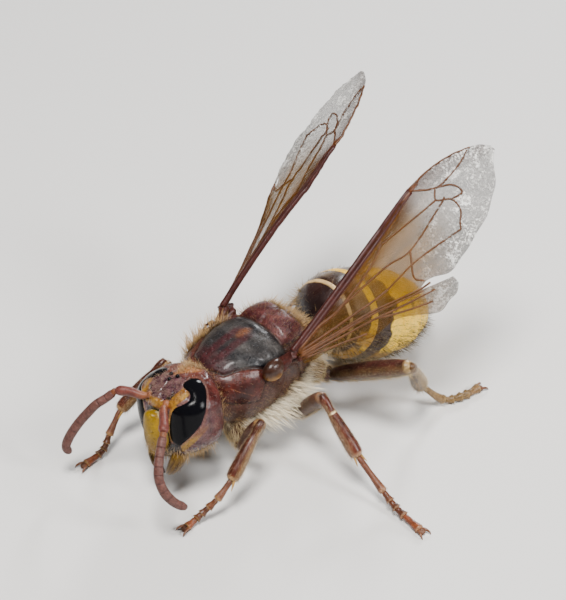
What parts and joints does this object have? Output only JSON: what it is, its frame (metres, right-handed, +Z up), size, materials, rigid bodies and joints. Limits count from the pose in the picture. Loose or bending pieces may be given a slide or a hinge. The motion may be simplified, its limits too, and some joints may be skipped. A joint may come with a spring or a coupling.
{
  "type": "european hornet",
  "caption": "Life-size still model of a european hornet standing on its feet, wings raised and half open.",
  "frame": {"origin": "middle of the bounding box in plan, on the floor that the feet stand on", "axes": "+Z up, +Y from the head towards the tail, +X towards the insect's left side"},
  "size_m": [0.026, 0.0332, 0.0209],
  "materials": {
    "head_shell": "glossy violet-maroon chitin with an orange-yellow lower face",
    "clypeus_shell": "pitted mustard yellow",
    "eye_shell": "glossy black",
    "jaw_shell": "ochre with dark grooves",
    "feeler_shell": "reddish brown with narrow darker rings",
    "thorax_shell": "dark brown and maroon chitin with blond hair",
    "scutum_shell": "charcoal, pitted, with two maroon stripes",
    "tail_dark_shell": "dark chocolate with a pale rim",
    "tail_yellow_shell": "bright yellow with brown marks",
    "wing_film": "amber-brown, veined and thin, clear towards the tip",
    "leg_shell": "glossy chestnut-maroon",
    "foot_shell": "orange-brown with pale spines"
  },
  "bodies": {
    "root": {"head": "head_shell", "clypeus": "clypeus_shell", "eye_left": "eye_shell", "eye_right": "eye_shell", "mandible_left": "jaw_shell", "mandible_right": "jaw_shell", "antenna_scape_left": "feeler_shell", "antenna_scape_right": "feeler_shell", "antenna_flagellum_left": "feeler_shell", "antenna_flagellum_right": "feeler_shell", "pronotum": "thorax_shell", "mesoscutum": "scutum_shell", "scutellum": "thorax_shell", "propodeum": "thorax_shell", "thorax": "thorax_shell", "tegula_left": "thorax_shell", "tegula_right": "thorax_shell", "gaster_1": "tail_dark_shell", "gaster_2": "tail_dark_shell", "gaster_3": "tail_yellow_shell", "gaster_4": "tail_yellow_shell", "gaster_5": "tail_yellow_shell", "gaster_6": "tail_yellow_shell", "forewing_left": "wing_film", "forewing_right": "wing_film", "hindwing_left": "wing_film", "hindwing_right": "wing_film", "leg_fore_left_coxa": "leg_shell", "leg_fore_left_femur": "leg_shell", "leg_fore_left_tibia": "leg_shell", "leg_fore_left_tarsus": "foot_shell", "leg_fore_right_coxa": "leg_shell", "leg_fore_right_femur": "leg_shell", "leg_fore_right_tibia": "leg_shell", "leg_fore_right_tarsus": "foot_shell", "leg_mid_left_coxa": "leg_shell", "leg_mid_left_femur": "leg_shell", "leg_mid_left_tibia": "leg_shell", "leg_mid_left_tarsus": "foot_shell", "leg_mid_right_coxa": "leg_shell", "leg_mid_right_femur": "leg_shell", "leg_mid_right_tibia": "leg_shell", "leg_mid_right_tarsus": "foot_shell", "leg_hind_left_coxa": "leg_shell", "leg_hind_left_femur": "leg_shell", "leg_hind_left_tibia": "leg_shell", "leg_hind_left_tarsus": "foot_shell", "leg_hind_right_coxa": "leg_shell", "leg_hind_right_femur": "leg_shell", "leg_hind_right_tibia": "leg_shell", "leg_hind_right_tarsus": "foot_shell"}
  },
  "joints": []
}
